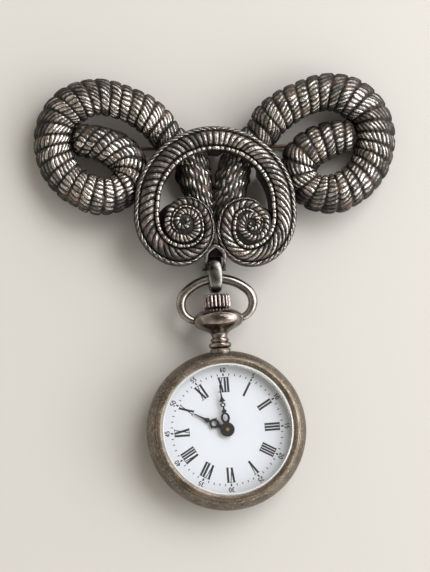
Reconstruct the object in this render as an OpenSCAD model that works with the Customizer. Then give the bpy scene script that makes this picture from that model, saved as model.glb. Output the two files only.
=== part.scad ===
// Chatelaine watch pin: a ram's-horn brooch of cast rope, with a small round
// watch swinging from it on a bow. It lies face up, as it would on a table.
// Millimetres. X to the right, Y to the top of the brooch, Z towards the viewer.
// The origin is the middle of the outline, on the surface the piece lies on.

/* [Horns] */
// From the middle of the scroll frame out to the outermost rope, centre of rope
horn_reach = 34.7; // [30:0.1:42]
// From the middle of the scroll frame up to the highest rope, centre of rope
horn_rise = 23.5; // [20:0.1:29]
// Radius of the rope where it is fattest
rope_r = 4.2; // [3.4:0.05:4.4]
// How far the middle of the brooch's back stands off the surface
back_hollow = 2.4; // [2.2:0.1:3.5]
// Lean of the right horn against the mirrored left one, degrees
right_lean = 3; // [0:0.5:4]

/* [Scroll frame] */
// Outer radius of the arch
frame_r = 17.2; // [15:0.1:20]
// Width of the ridged band with its two edges
band_w = 5.3; // [4.4:0.1:5.6]
// Thickness of the band
band_t = 3.6; // [2.5:0.1:4.5]
// Half the width of the eyelet's hole
eyelet_hole = 1.8; // [1.75:0.05:2.2]
// Width of the rim round that hole
eyelet_rim = 0.75; // [0.6:0.05:1]

/* [Brooch pin] */
// Length of the pin stem between hinge and catch
stem_len = 51; // [46:0.5:54]
// Radius of the pin stem
stem_r = 0.4; // [0.3:0.05:0.45]
// Lean of the pin stem, degrees
stem_lean = 1.7; // [0:0.1:3]

/* [Bail and bow] */
// Outer radius of the bail ring
bail_r = 4.1; // [3.9:0.05:4.2]
// Thickness of the bail's band
bail_t = 1.3; // [1:0.05:1.4]
// Width of the bail's band
bail_w = 3; // [2:0.1:3.2]
// Width of the bow, over its wire
bow_w = 17.3; // [16:0.1:20]
// Height of the bow above its pivots, to the middle of the wire
bow_h = 8.8; // [8.4:0.1:10]
// Radius of the bow's two round corners, to the middle of the wire
bow_corner = 3.6; // [3:0.1:4]
// Radius of the bow's wire
bow_wire = 0.95; // [0.8:0.05:1]

/* [Pendant and crown] */
// Radius of the pendant's onion
onion_r = 5.35; // [4.8:0.05:5.35]
// Height of the pendant's onion
onion_h = 5.1; // [4.4:0.1:5.6]
// From the case's edge up to the bow's pivots
neck_len = 6.6; // [6:0.1:8]
// Radius of the crown, over its ribs
crown_r = 2.95; // [2.4:0.05:3.1]
// Height of the crown
crown_h = 3; // [2.4:0.1:3.1]
// Ribs round the crown
crown_ribs = 20; // [14:1:24]
// Radius of the setting stem
setting_r = 0.45; // [0.35:0.05:0.6]

/* [Watch case] */
// Radius of the watch case
case_r = 17; // [15:0.1:20]
// Height of the pendant's axis above the back
axis_z = 5.4; // [5.4:0.05:6]
// Height of the case without its glass
case_t = 9.4; // [9:0.1:11]
// From the case's edge in to the glass
bezel_w = 2.95; // [2.6:0.05:4]
// Rise of the glass above the bezel
glass_rise = 0.8; // [0.4:0.1:1.2]
// Thickness of the case wall beside the movement
case_wall = 3.4; // [3.2:0.1:4]
// Lean of the watch, degrees
watch_lean = 4.4; // [0:0.1:5]

/* [Dial and hands] */
// Thickness of the dial
dial_t = 0.4; // [0.3:0.05:0.5]
// Length of the minute hand
minute_len = 9.6; // [7:0.1:10]
// Length of the hour hand
hour_len = 7.9; // [5:0.1:8]
// Thickness of each hand
hand_t = 0.2; // [0.15:0.01:0.25]
// Radius of the arbor that carries the hands
arbor_r = 0.4; // [0.3:0.05:0.5]
// Minutes past nine that the hands show
minutes = 59; // [0:1:59]

/* [Hidden] */
$fn = 48;
fit = 0.05;          // running clearance, all round
seat = 0.05;         // gap between two pieces that are fixed to each other
skin = 0.06;         // thickness of the slices that a rope or band is drawn through
// Where the middle of the frame's arch lies
frame_x = 0.38;
frame_y = 18;

// A smooth curve through the rows of a table, at place t, for every column at once
function smooth_row(table, t) =
    let (i = min(floor(t), len(table) - 2), f = t - i,
        a = table[max(i - 1, 0)], b = table[i],
        c = table[i + 1], d = table[min(i + 2, len(table) - 1)])
    0.5 * (2 * b + (c - a) * f + (2 * a - 5 * b + 4 * c - d) * f * f
        + (3 * b - a - 3 * c + d) * f * f * f);
function heading(table, t) =
    let (a = smooth_row(table, max(t - 0.05, 0)),
        b = smooth_row(table, min(t + 0.05, len(table) - 1)))
    atan2(b[1] - a[1], b[0] - a[0]);
function ease(t) = let (s = min(max(t, 0), 1)) s * s * (3 - 2 * s);

// Draws a solid through upright slices along a table of [x, y, ...] rows
module through(table, steps) {
    count = (len(table) - 1) * steps;
    for (k = [0 : count - 1]) {
        hull() {
            slice_at(table, k / steps);
            slice_at(table, (k + 1) / steps);
        }
    }
}
// A row of four columns is a rope, and one of three is a piece of the band
module slice_at(table, t) {
    row = smooth_row(table, t);
    translate([row[0], row[1], 0]) rotate([90, 0, heading(table, t) + 90])
        linear_extrude(height = skin, center = true)
            if (len(row) == 4) rope_section(row);
            else band_section(row);
}

// The rope's route, from where it leaves the arch out over the top and round to the
// tail. Columns: out, as a share of horn_reach; up, of horn_rise; radius, of rope_r;
// and the height of the rope's centre over its flat back, of rope_r
horn_rows = [
    [0.369, 0.779, 0.93, 0.68],
    [0.450, 0.868, 0.93, 0.80],
    [0.553, 0.942, 0.89, 0.80],
    [0.712, 1.000, 0.91, 0.80],
    [0.865, 0.942, 1.00, 0.80],
    [0.969, 0.806, 1.00, 0.80],
    [1.000, 0.625, 1.00, 0.80],
    [0.988, 0.471, 1.00, 0.80],
    [0.945, 0.326, 0.96, 0.80],
    [0.859, 0.190, 0.94, 0.80],
    [0.731, 0.100, 0.97, 0.80],
    [0.602, 0.127, 0.86, 0.66],
    [0.522, 0.271, 0.82, 0.42],
    [0.541, 0.426, 0.88, 0.42],
    [0.620, 0.525, 0.90, 0.56],
    [0.731, 0.589, 0.82, 0.60],
    [0.810, 0.606, 0.80, 0.58],
    [0.890, 0.610, 0.76, 0.52]];
// The ends of the two ropes, seen crossing through the arch, from their tips up to
// where they leave it. Out and up are shares of frame_r here, and the rest of end_r
end_r = frame_r / 4.1;
left_end = [
    [0.254, 0.153, 0.56, 0.26],
    [0.260, 0.272, 0.66, 0.30],
    [0.266, 0.458, 0.74, 0.34],
    [0.359, 0.622, 0.76, 0.28],
    [0.498, 0.766, 0.79, 0.24],
    [0.615, 0.922, 0.86, 0.34]];
right_end = [
    [-0.061, -0.005, 0.46, 0.30],
    [0.044, 0.130, 0.54, 0.30],
    [0.161, 0.294, 0.66, 0.34],
    [0.246, 0.471, 0.73, 0.34],
    [0.359, 0.622, 0.76, 0.28],
    [0.498, 0.766, 0.79, 0.24],
    [0.615, 0.922, 0.86, 0.34]];
// The brooch's back is hollow from the middle out to these shares of horn_reach
hollow_in = 0.80;
hollow_out = 0.98;

function back_z(out) =
    back_hollow * (1 - ease((out / horn_reach - hollow_in) / (hollow_out - hollow_in)));
function rope_rows(rows, out, up, radius) = [for (row = rows)
    [row[0] * out, row[1] * up, row[2] * radius, row[3] * radius]];
function horn_route(end_rows) = concat(rope_rows(end_rows, frame_r, frame_r, end_r),
    rope_rows(horn_rows, horn_reach, horn_rise, rope_r));
rope_sides = 16;
module rope_section(row) {
    lift = back_z(row[0]);
    polygon([for (side = [0 : rope_sides - 1])
        let (angle = 360 * (side + 0.5) / rope_sides)
        [row[2] * cos(angle), lift + row[3] + max(row[2] * sin(angle), -row[3])]]);
}
module in_brooch() translate([frame_x, frame_y, 0]) children();
module left_horn() color("dimgray")
    in_brooch() mirror([1, 0, 0]) through(horn_route(left_end), 2);
module right_horn() color("dimgray")
    in_brooch() rotate([0, 0, right_lean]) through(horn_route(right_end), 2);

// The left half of the band: the arch as a circle, then the table below.
// Columns: out and up, as shares of frame_r; width, as a share of band_w
arch_steps = 9;
scroll_rows = [
    [0.851, -0.150, 1.00],
    [0.810, -0.335, 0.96],
    [0.700, -0.495, 0.92],
    [0.535, -0.595, 0.89],
    [0.350, -0.605, 0.81],
    [0.190, -0.520, 0.62],
    [0.105, -0.385, 0.52],
    [0.098, -0.223, 0.50],
    [0.155, -0.062, 0.47],
    [0.276, 0.025, 0.44],
    [0.412, 0.037, 0.43],
    [0.520, -0.030, 0.41]];
volute_at = [0.387 * frame_r, -0.198 * frame_r];
volute_core = 0.25 * frame_r;
rope_under = 1.035 * end_r;       // height of the rope where it runs under the band
frame_z = back_hollow + rope_under + 0.15;
frame_top = frame_z + band_t;
band_round = 0.25 * band_t;
arch_r = frame_r - band_w / 2;
function arch_rows() = [for (k = [0 : arch_steps])
    [arch_r * sin(90 * k / arch_steps), arch_r * cos(90 * k / arch_steps), band_w]];
function band_route() = concat(arch_rows(), [for (row = scroll_rows)
    [row[0] * frame_r, row[1] * frame_r, row[2] * band_w]]);
module band_section(row) {
    half = row[2] / 2;
    polygon([[-half, frame_z], [half, frame_z], [half, frame_top - 1.6 * band_round],
        [half - 1.2 * band_round, frame_top - 0.4 * band_round],
        [half / 3, frame_top], [-half / 3, frame_top],
        [1.2 * band_round - half, frame_top - 0.4 * band_round],
        [-half, frame_top - 1.6 * band_round]]);
}
// The eyelet hangs between the volutes, and the bail ring from its bar
eyelet_top = -0.526 * frame_r;
bail_x = frame_x + 0.05;
bail_y = frame_y + eyelet_top - bail_r - 0.95;
bail_hole = bail_r - bail_t;
bar_z = bail_r + 0.2;             // underside of the eyelet
bar_t = 1.2;
bar_y = bail_y - frame_y + 0.42 * bail_hole;
bar_w = 0.36 * bail_hole;
eyelet_z = frame_z + 0.3 * band_t;
module eyelet_outline() {
    half = eyelet_hole + eyelet_rim;
    polygon([[0, eyelet_top + 1.6], [half, eyelet_top - 1.3], [half, bar_y + bar_w / 2],
        [-half, bar_y + bar_w / 2], [-half, eyelet_top - 1.3]]);
}
module eyelet() {
    difference() {
        translate([0, 0, bar_z + 0.1]) linear_extrude(eyelet_z - bar_z) eyelet_outline();
        translate([0, eyelet_top - eyelet_hole, 0]) {
            cylinder(r = eyelet_hole, h = frame_top, $fn = 24);
            translate([-eyelet_hole, -frame_r, 0])
                cube([2 * eyelet_hole, frame_r, frame_top]);
        }
    }
    translate([-eyelet_hole - eyelet_rim - 0.1, bar_y, bar_z])
        cube([2 * (eyelet_hole + eyelet_rim) + 0.2, bar_w, bar_t]);
}
module scroll_frame() color("dimgray") in_brooch() {
    for (side = [0, 1]) mirror([side, 0, 0]) {
        through(band_route(), 2);
        translate([volute_at[0], volute_at[1], frame_z + 0.1])
            cylinder(r = volute_core, h = 0.8 * band_t, $fn = 24);
    }
    eyelet();
}

// The brooch's pin: hinge, stem and catch, soldered under the two tails
stem_y = 13.7;                    // above the middle of the frame
stem_z = 1.25;
pin_block = [3.2, 3.4];
pin_foot = 0.2;
module brooch_pin() color("silver") in_brooch()
    translate([0, stem_y, 0]) rotate([0, 0, stem_lean]) {
        block_h = back_z(stem_len / 2 + pin_block[0]) - 0.1 - pin_foot;
        translate([0, 0, stem_z]) rotate([0, 90, 0])
            cylinder(r = stem_r, h = stem_len, center = true);
        for (side = [-1, 1])
            translate([side * stem_len / 2, 0, pin_foot + block_h / 2])
                cube([pin_block[0], pin_block[1], block_h], center = true);
    }

// The watch stands in its own frame: origin in the middle of the case's back, Y along
// the pendant's axis. The bow's wire lies against the inside of the bail
pivot_y = case_r + neck_len;
bow_slack = 0.15;
bow_drop = sqrt(pow(bail_hole - bow_wire - bow_slack, 2) - pow(axis_z - bail_r, 2));
module in_watch() translate([bail_x, bail_y, 0]) rotate([0, 0, watch_lean])
    translate([0, -bow_drop - bow_h - pivot_y, 0]) children();
module on_pivot() in_watch() translate([0, pivot_y, axis_z]) children();
// Turns what is drawn round Z so that it lies along the pendant's axis
module along_pendant() in_watch() translate([0, 0, axis_z]) rotate([-90, 0, 0]) children();

module bail() color("gray")
    translate([bail_x, bail_y, bail_r]) rotate([0, 0, watch_lean]) rotate([0, 90, 0])
        rotate_extrude() translate([bail_r - bail_t, 0]) {
            translate([0, -bail_w / 2 + bail_t / 3]) square([bail_t, bail_w - bail_t / 1.5]);
            translate([bail_t / 3, -bail_w / 2]) square([bail_t / 3, bail_w]);
        }

// The bow: one wire bent to a wide arch, its corners and two turned-in ends
bow_half = bow_w / 2 - bow_wire;
corner_x = bow_half - bow_corner;
corner_y = bow_corner;
arch_drop = bow_corner - bow_h;
bow_arch = (bow_corner * bow_corner - corner_x * corner_x - arch_drop * arch_drop)
    / (2 * (arch_drop + bow_corner));
corner_angle = atan2(corner_y - (bow_h - bow_arch), corner_x);
bow_clear = 0.2;
pin_reach = 0.72 * onion_r;
pivot_r = 0.5;
wire_sides = 12;
// The wire's middle at an angle round one of the bow's arcs, with that angle
function on_arc(x, y, radius, angle) = [x + radius * cos(angle), y + radius * sin(angle), angle];
bow_route = concat(
    [for (k = [0 : 8]) let (a = -72 + (corner_angle + 72) * k / 8)
        on_arc(corner_x, corner_y, bow_corner, a)],
    [for (k = [1 : 11]) let (a = corner_angle + (180 - 2 * corner_angle) * k / 12)
        on_arc(0, bow_h - bow_arch, bow_arch, a)],
    [for (k = [8 : -1 : 0]) let (a = 180 + 72 - (corner_angle + 72) * k / 8)
        on_arc(-corner_x, corner_y, bow_corner, a)]);
module wire(route, radius) {
    last = len(route) - 1;
    points = [for (row = route) for (side = [0 : wire_sides - 1])
        let (turn = 360 * (side + 0.5) / wire_sides, out = radius * cos(turn))
        [row[0] + out * cos(row[2]), row[1] + out * sin(row[2]), radius * sin(turn)]];
    walls = [for (k = [0 : last - 1]) for (side = [0 : wire_sides - 1])
        let (a = k * wire_sides + side, b = k * wire_sides + (side + 1) % wire_sides)
        for (face = [[a, b, a + wire_sides], [b, b + wire_sides, a + wire_sides]]) face];
    ends = [[for (side = [wire_sides - 1 : -1 : 0]) side],
        [for (side = [0 : wire_sides - 1]) last * wire_sides + side]];
    polyhedron(points, concat(walls, ends));
}
module bow() color("silver") on_pivot() {
    difference() {
        wire(bow_route, bow_wire);
        sphere(r = onion_r + bow_clear);
    }
    for (side = [0, 1]) mirror([side, 0, 0])
        translate([pin_reach, 0, 0]) rotate([0, 90, 0])
            cylinder(r = pivot_r, h = onion_r + bow_wire - pin_reach);
}

// The pendant: an onion on a ringed neck, turned in one piece
onion_pow = 2.3;
onion_bands = 15;                 // odd, so that no edge crosses the bow's pivots
spigot_r = 1.2;
neck_r = 1.6;
boss_h = 0.35;                    // the seat for the neck stands this proud of the case
function onion_edge(t) = onion_r * pow(1 - pow(abs(t), onion_pow), 0.5);
module pendant_outline() {
    half = onion_h / 2;
    tip = 0.86;
    polygon(concat([[0, pivot_y - half * tip]],
        [for (k = [0 : onion_bands])
            let (t = -tip + 2 * tip * k / onion_bands)
            [onion_edge(t), pivot_y + half * t]],
        [[0, pivot_y + half * tip]]));
    translate([0, case_r - case_wall / 2]) square([spigot_r, neck_len - half]);
    translate([0, case_r + boss_h + seat]) square([neck_r, neck_len - half - boss_h]);
    translate([0, case_r + 0.75]) square([neck_r + 0.85, 1.15]);
    translate([0, case_r + 2.35]) square([neck_r + 0.3, 0.75]);
    translate([0, pivot_y - half - 0.35]) square([neck_r + 0.9, 1.2]);
}
module pendant() color("gray") difference() {
    along_pendant() rotate_extrude() difference() {
        pendant_outline();
        square([setting_r + fit, 2 * pivot_y]);
    }
    on_pivot() rotate([0, 90, 0])
        for (side = [-1, 1]) translate([0, 0, side * onion_r])
            cylinder(r = pivot_r + fit, h = 2 * (onion_r - pin_reach + 0.2), center = true);
}

// The case: a round-sided middle, a snapped-in back and bezel, and the glass
glass_r = case_r - bezel_w;
side_round = case_t / 2 + 0.2;
front_z = case_t - 1.1;
back_t = 0.9;
movement_r = case_r - case_wall - 0.4;
module case_side(grow = 0) {
    translate([case_r - side_round, case_t / 2]) circle(r = side_round + grow, $fn = 96);
}
module pendant_hole(radius) along_pendant() cylinder(r = radius, h = 2 * case_r);
module case_body() color("dimgray") difference() {
    union() {
        in_watch() rotate_extrude() difference() {
            intersection() {
                case_side();
                translate([case_r - case_wall, back_t])
                    square([case_wall + 1, front_z - back_t]);
            }
            translate([0, dial_z]) square([dial_r + seat, case_t]);
        }
        along_pendant() translate([0, 0, case_r - case_wall / 2])
            cylinder(r = neck_r + 0.6, h = case_wall / 2 + boss_h);
    }
    pendant_hole(spigot_r + seat);
}
module case_back() color("dimgray") in_watch() {
    rotate_extrude() intersection() {
        union() {
            case_side();
            square([case_r - side_round, back_t]);
        }
        square([case_r, back_t - seat]);
    }
    cylinder(r = case_r - case_wall - seat, h = back_t + 0.8);
}

module bezel() color("dimgray") in_watch() rotate_extrude() difference() {
    union() {
        translate([0, front_z + seat])
            square([bezel_r - bezel_round, case_t - front_z - seat]);
        translate([0, front_z + seat])
            square([bezel_r, case_t - front_z - seat - bezel_round]);
        translate([bezel_r - bezel_round, case_t - bezel_round]) circle(r = bezel_round);
        translate([0, glass_z]) square([dial_r, front_z - glass_z + 0.1]);
    }
    translate([0, glass_z - 1]) square([glass_r + seat, case_t]);
}
bezel_r = case_r - side_round
    + sqrt(side_round * side_round - pow(front_z - case_t / 2, 2)) - 0.12;
bezel_round = 0.45;
dial_r = glass_r + 0.55;
dial_z = 6.3;
glass_z = front_z - 0.1;
dome_r = (glass_r * glass_r + glass_rise * glass_rise) / (2 * glass_rise);
module crystal() color("lightblue", 0.4) in_watch() rotate_extrude() intersection() {
    translate([0, glass_z]) square([glass_r, case_t]);
    translate([0, case_t + glass_rise - dome_r]) circle(r = dome_r, $fn = 240);
}

// What lies under the glass: the movement, its dial, the arbor and the hands
module movement() color("goldenrod") difference() {
    in_watch() translate([0, 0, back_t + 1])
        cylinder(r = movement_r, h = dial_z - 2 * seat - back_t - 1);
    pendant_hole(setting_r + fit);
    in_watch() cylinder(r = arbor_r + seat, h = dial_z);
}
module dial() color("aliceblue") in_watch() difference() {
    translate([0, 0, dial_z + seat]) cylinder(r = dial_r, h = dial_t, $fn = 96);
    cylinder(r = arbor_r + seat, h = case_t);
}
hour_z = dial_z + dial_t + 0.4;
minute_z = hour_z + hand_t + 0.2;
arbor_top = minute_z + hand_t + 0.25;
module hand_arbor() color("gold") in_watch() translate([0, 0, dial_z - 2])
    cylinder(r = arbor_r, h = arbor_top - dial_z + 2, $fn = 24);

boss_r = 1.55;
minute_turn = -6 * minutes;
hour_turn = -30 * (9 + minutes / 60);
// A flat blade along +Y: rows of [place, half width], mirrored about the axis
module blade(rows, length) polygon(concat(
    [for (row = rows) [row[1], row[0] * length]],
    [for (k = [len(rows) - 1 : -1 : 0]) [-rows[k][1], rows[k][0] * length]]));
module hand(turn, z, length, rings, rows) in_watch() rotate([0, 0, turn])
    translate([0, 0, z]) difference() {
        linear_extrude(hand_t) {
            circle(r = z == hour_z ? boss_r * 0.98 : boss_r);
            difference() {
                blade(rows, length);
                for (ring = rings) translate([0, ring[0] * length]) circle(r = ring[1]);
            }
            for (ring = rings) translate([0, ring[0] * length]) difference() {
                circle(r = ring[1]);
                circle(r = ring[2]);
            }
        }
        translate([0, 0, -1]) cylinder(r = arbor_r + fit, h = 3, $fn = 24);
    }
module hour_hand() color("black") hand(hour_turn, hour_z, hour_len,
    [[0.365, 0.95, 0.57]],
    [[0.1, 0.5], [0.3, 0.35], [0.48, 0.3], [0.56, 0.42], [0.66, 0.16], [0.98, 0.1]]);
module minute_hand() color("black") hand(minute_turn, minute_z, minute_len,
    [[0.27, 0.85, 0.5], [0.56, 0.5, 0.28]],
    [[0.1, 0.45], [0.36, 0.3], [0.45, 0.5], [0.52, 0.16], [0.64, 0.2], [0.68, 0.55],
        [0.78, 0.15], [0.99, 0.08]]);

// The setting stem runs from the movement up through the pendant to the crown
crown_y = pivot_y + onion_h / 2 * 0.86 - 0.1;
crown_bore = 1.6;
stem_in = movement_r - 1.2;
module setting_stem() color("silver") along_pendant() translate([0, 0, stem_in])
    cylinder(r = setting_r, h = crown_y + crown_bore - 0.2 - stem_in);
crown_round = 0.45;
rib_w = 0.42;
module crown() color("gray") along_pendant() translate([0, 0, crown_y + 0.25]) {
    difference() {
        intersection() {
            union() {
                cylinder(r = crown_r - crown_round, h = crown_h);
                for (k = [0 : crown_ribs - 1]) rotate([0, 0, 360 * k / crown_ribs])
                    translate([0, -rib_w / 2, 0]) cube([crown_r, rib_w, crown_h]);
            }
            rotate_extrude() polygon([[0, 0], [crown_r - crown_round, 0],
                [crown_r, crown_round], [crown_r, crown_h - crown_round],
                [crown_r - crown_round, crown_h], [0, crown_h]]);
        }
        translate([0, 0, -1]) cylinder(r = setting_r + fit, h = crown_bore + 1);
    }
}

left_horn();
right_horn();
scroll_frame();
brooch_pin();
bail();
bow();
pendant();
setting_stem();
crown();
case_body();
case_back();
bezel();
crystal();
movement();
dial();
hand_arbor();
hour_hand();
minute_hand();
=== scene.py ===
"""Chatelaine watch pin: a cast ram's-horn brooch with a small watch swinging from it.

X is to the right, Y to the top of the brooch and Z out of the dial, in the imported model's
frame. The objects are in metres, and the sizes in the sections in millimetres.
"""

import math

import bpy
import numpy as np
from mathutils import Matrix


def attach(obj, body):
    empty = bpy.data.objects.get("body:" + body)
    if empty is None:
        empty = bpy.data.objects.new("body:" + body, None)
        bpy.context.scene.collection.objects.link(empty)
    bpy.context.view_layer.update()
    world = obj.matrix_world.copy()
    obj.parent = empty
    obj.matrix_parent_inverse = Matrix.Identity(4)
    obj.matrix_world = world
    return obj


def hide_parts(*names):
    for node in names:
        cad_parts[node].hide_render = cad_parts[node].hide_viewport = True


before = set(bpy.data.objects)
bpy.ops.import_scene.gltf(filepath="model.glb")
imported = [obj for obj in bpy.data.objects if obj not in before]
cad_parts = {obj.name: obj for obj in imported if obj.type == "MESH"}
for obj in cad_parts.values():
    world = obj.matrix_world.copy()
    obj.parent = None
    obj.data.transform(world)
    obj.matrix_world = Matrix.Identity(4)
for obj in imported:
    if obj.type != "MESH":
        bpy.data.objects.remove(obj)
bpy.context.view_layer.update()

# The two horns of the brooch: white metal cast as ropes that are wound with a twisted
# cord, silvered, then blackened and rubbed bright again. Each rope crosses under the
# arch, climbs, loops round and tucks its tail under itself. The backs are flat.
horn_reach, horn_rise, rope_r, back_hollow = 34.7, 23.5, 4.2, 2.4
hollow_in, hollow_out = 0.80, 0.98  # between these shares of the reach the back slopes down
frame_x, frame_y, frame_r = 0.38, 18.0, 17.2
# The photo's right loop is a little larger than the left one, lies lower and is less worn
left_stretch, right_stretch, right_drop = (-0.992, 1.008, 1), (1.03, 1.04, 1), 0.72
right_lean, right_rub = 3.7, 0.86
# Columns: out, up, radius of the rope, height of its middle over the flat back
horn_rows = [
    [0.369, 0.779, 0.93, 0.68],
    [0.450, 0.868, 0.93, 0.80],
    [0.553, 0.942, 0.89, 0.80],
    [0.712, 1.000, 0.91, 0.80],
    [0.865, 0.942, 1.00, 0.80],
    [0.969, 0.806, 1.00, 0.80],
    [1.000, 0.625, 1.00, 0.80],
    [0.988, 0.471, 1.00, 0.80],
    [0.945, 0.326, 0.96, 0.80],
    [0.859, 0.190, 0.94, 0.80],
    [0.731, 0.100, 0.97, 0.80],
    [0.602, 0.127, 0.92, 0.66],
    [0.522, 0.271, 0.92, 0.44],
    [0.541, 0.426, 0.96, 0.44],
    [0.620, 0.525, 0.96, 0.56],
    [0.731, 0.589, 0.88, 0.60],
    [0.810, 0.606, 0.82, 0.58],
    [0.890, 0.610, 0.76, 0.52],
]
# The ends that cross under the arch, from their tips up, all four columns in mm
left_end = [
    [-0.60, -3.70, 2.00, 1.00],
    [0.80, -1.60, 2.30, 1.00],
    [1.90, 0.60, 2.60, 1.00],
    [3.15, 3.60, 3.25, 0.90],
    [4.30, 7.40, 4.00, 0.60],
    [4.70, 10.00, 3.80, 0.50],
    [6.60, 12.80, 3.70, 0.60],
    [8.80, 14.30, 3.50, 0.90],
    [10.60, 15.90, 3.65, 1.35],
]
right_end = [
    [-1.16, -3.04, 2.00, 1.00],
    [0.30, -0.80, 2.30, 1.20],
    [1.70, 1.20, 2.90, 1.60],
    [3.20, 3.30, 3.35, 1.90],
    [4.20, 6.60, 3.65, 1.60],
    [5.30, 10.10, 3.50, 1.20],
    [7.50, 12.90, 3.50, 1.00],
    [9.60, 14.60, 3.50, 1.00],
    [11.20, 16.20, 3.65, 1.35],
]
wrap_pitch = 2.35  # of the cord round the rope
wrap_lean = 1.6  # wraps that the cord advances in one turn
left_tail_lean, right_tail_lean = -4.5, 0.8  # the same, in the tucked tails
wrap_depth = 0.85
strand_pitch, strand_depth, strand_slant = 1.02, 0.40, 0.40
# Inside the arch the strands are finer, run slantwise down the rope and swell in turn
arch_pitch, arch_slant, arch_swell = 0.92, 0.24, 2.7


class Tone:
    """One socket of a material, so that a look is written as sums of values."""

    def __init__(self, tree, socket=None):
        self.tree = tree
        self.socket = socket

    def add(self, kind, settings=None, sockets=None, out=0):
        """A new node: its settings first, then the values or links of its sockets."""
        node = self.tree.nodes.new("ShaderNode" + kind)
        for name, value in (settings or {}).items():
            setattr(node, name, value)
        for name, value in (sockets or {}).items():
            if isinstance(value, Tone):
                self.tree.links.new(value.socket, node.inputs[name])
            else:
                node.inputs[name].default_value = value
        return Tone(self.tree, node.outputs[out])

    def maths(self, operation, first, second):
        return self.add("Math", {"operation": operation}, {0: first, 1: second})

    def __add__(self, other):
        return self.maths("ADD", self, other)

    def __sub__(self, other):
        return self.maths("SUBTRACT", self, other)

    def __rsub__(self, other):
        return self.maths("SUBTRACT", other, self)

    def __mul__(self, other):
        return self.maths("MULTIPLY", self, other)

    def __pow__(self, other):
        return self.maths("POWER", self, other)

    __radd__ = __add__
    __rmul__ = __mul__

    def held(self, low=0.0, high=1.0):
        return self.add("Clamp", None, {"Value": self, "Min": low, "Max": high})

    def between(self, low, high):
        """0 at low, 1 at high, and no further."""
        return self.add(
            "MapRange", {"clamp": True}, {"Value": self, "From Min": low, "From Max": high}
        )

    def mixed(self, first, second):
        """From the first colour to the second, as this value goes from 0 to 1."""
        first, second = (
            tone if isinstance(tone, Tone) else (*tone, 1.0) for tone in (first, second)
        )
        # The Mix node's colours are its sockets 6 and 7, and its output 2
        return self.add("Mix", {"data_type": "RGBA"}, {0: self, 6: first, 7: second}, out=2)

    def noise(self, size, detail=3.0, roughness=0.55):
        """Cloudy values round 0.5, with spots of about size millimetres."""
        place = self.add("TexCoord", out="Object")
        return self.add(
            "TexNoise",
            None,
            {"Vector": place, "Scale": 1000.0 / size, "Detail": detail, "Roughness": roughness},
        )


def new_finish(name, **constants):
    """A material with a Principled shader, its constants set, and a Tone to build with."""
    material = bpy.data.materials.new(name)
    material.use_nodes = True
    shader = material.node_tree.nodes["Principled BSDF"]
    for socket, value in constants.items():
        shader.inputs[socket.replace("_", " ")].default_value = value
    return material, shader, Tone(material.node_tree)


def wire_up(tone, shader, socket):
    tone.tree.links.new(tone.socket, shader.inputs[socket])


def roughen(tone, height, shader, strength, depth):
    """Bumps as deep as depth, in millimetres, where height goes from 0 to 1."""
    values = {"Height": height, "Strength": strength, "Distance": depth * 0.001}
    wire_up(tone.add("Bump", None, values), shader, "Normal")


def old_silver(name, lows, highs, spots, rough_low, rough_high):
    """Cast metal, dark in its hollows and rubbed bright where it stands proud; its wear attribute also
    carries painted shade.
    """
    material, shader, tone = new_finish(name)
    wear_and_shade = tone.add("Attribute", {"attribute_name": "wear_and_shade"}, out="Fac")
    clouds = tone.noise(2.6, 4.0)
    grain = tone.noise(0.55, 4.0)
    rub_and_shade = (wear_and_shade * (1.40 + (grain - 0.5) * 3.2) + (clouds - 0.5) * 0.8 - 0.20).held()
    patch = tone.noise(3.1).between(0.54, 0.70) * 0.55
    colour = (rub_and_shade**1.7).mixed(lows, highs)
    wire_up(patch.mixed(colour, spots), shader, "Base Color")
    wire_up(rub_and_shade.between(0.05, 0.5) * 0.65 + 0.35, shader, "Metallic")
    wire_up(rough_low + (1 - rub_and_shade) * (rough_high - rough_low), shader, "Roughness")
    lumps = tone.noise(0.9) * 0.75 + grain * 0.25
    roughen(tone, lumps, shader, 0.7, 0.4)
    return material


def over_grid(points, wear_and_shade, ends=True):
    """Vertices, faces and wear-and-shade values of a skin over rings of points, with a face over each
    end.
    """
    rings, sides = points.shape[:2]
    ring, side = np.meshgrid(np.arange(rings - 1), np.arange(sides), indexing="ij")
    here = ring * sides + side
    after = ring * sides + (side + 1) % sides
    faces = np.stack([here, after, after + sides, here + sides], axis=-1).reshape(-1, 4).tolist()
    if ends:
        faces.append(list(range(sides))[::-1])
        faces.append([(rings - 1) * sides + k for k in range(sides)])
    return points.reshape(-1, 3), faces, wear_and_shade.reshape(-1)


def placed(skin, scale=(1, 1, 1), offset=(0, 0, 0)):
    """A skin scaled, then moved. The faces of a mirrored one are turned to face outward."""
    points, faces, wear_and_shade = skin
    if np.prod(scale) < 0:
        faces = [face[::-1] for face in faces]
    return points * scale + offset, faces, wear_and_shade


def cast_piece(name, skins, material, body, replaced=None):
    """One object from its skins, smooth-shaded, riding on its body."""
    points, faces, wear_and_shade = [], [], []
    start = 0
    for skin_points, skin_faces, skin_wear_and_shade in skins:
        points.append(skin_points)
        faces += [[corner + start for corner in face] for face in skin_faces]
        wear_and_shade.append(skin_wear_and_shade)
        start += len(skin_points)
    mesh = bpy.data.meshes.new(name)
    mesh.from_pydata((np.concatenate(points) * 0.001).tolist(), [], faces)
    # The wear attribute: the metal's patina and rubbed wear, and on some pieces painted shade as well
    mesh.attributes.new("wear_and_shade", "FLOAT", "POINT").data.foreach_set(
        "value", np.concatenate(wear_and_shade).astype(np.float32)
    )
    mesh.polygons.foreach_set("use_smooth", [True] * len(mesh.polygons))
    mesh.materials.append(material)
    piece = bpy.data.objects.new(name, mesh)
    bpy.context.scene.collection.objects.link(piece)
    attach(piece, body)
    if replaced:
        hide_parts(replaced)
    return piece


def ease(value):
    """0 up to 0, 1 from 1 on, and a soft S between them."""
    held = np.clip(value, 0, 1)
    return held * held * (3 - 2 * held)


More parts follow.
